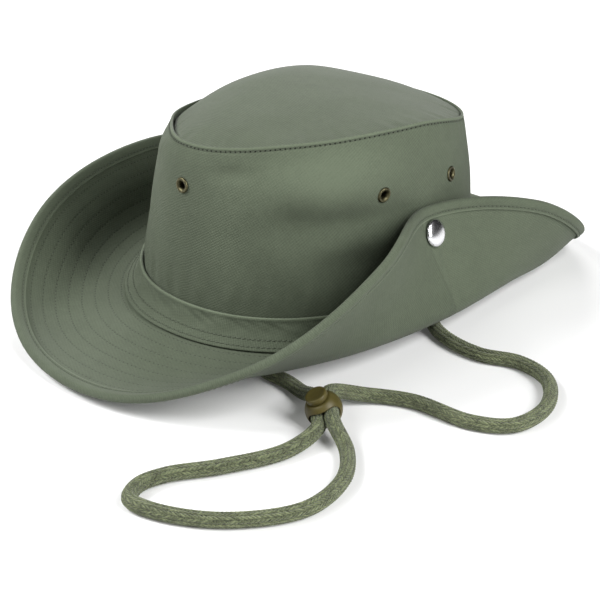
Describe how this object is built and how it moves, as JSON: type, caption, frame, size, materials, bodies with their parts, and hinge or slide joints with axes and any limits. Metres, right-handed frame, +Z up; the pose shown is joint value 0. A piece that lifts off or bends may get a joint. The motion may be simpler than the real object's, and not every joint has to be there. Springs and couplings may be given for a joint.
{
  "type": "bush hat",
  "caption": "Wide-brimmed cloth bush hat, one side of the brim turned up and snapped to the crown, vent eyelets, stitched brim, braided chin cord with a cord lock.",
  "frame": {"origin": "middle of the bottom of the hat's box, without the loose cord, on the surface it rests on", "axes": "+Z up, -Y towards the front of the hat, +X towards the wearer's left, where the brim is turned up"},
  "size_m": [0.3359, 0.3924, 0.1241],
  "materials": {
    "cloth": "sage green cotton twill",
    "cord": "braided cotton cord, olive green",
    "toggle_plastic": "moulded plastic, dark olive",
    "eyelet_metal": "antique brass",
    "snap_metal": "polished"
  },
  "bodies": {
    "root": {"crown_side": "cloth", "crown_tip": "cloth", "hat_band": "cloth", "brim": "cloth", "brim_binding": "cloth", "eyelet_front": "eyelet_metal", "eyelet_left_front": "eyelet_metal", "eyelet_left_back": "eyelet_metal", "eyelet_right_back": "eyelet_metal", "eyelet_right_front": "eyelet_metal", "snap_cap": "snap_metal", "snap_stud": "eyelet_metal", "chin_cord": "cord", "cord_toggle": "toggle_plastic", "toggle_button": "toggle_plastic"}
  },
  "joints": []
}
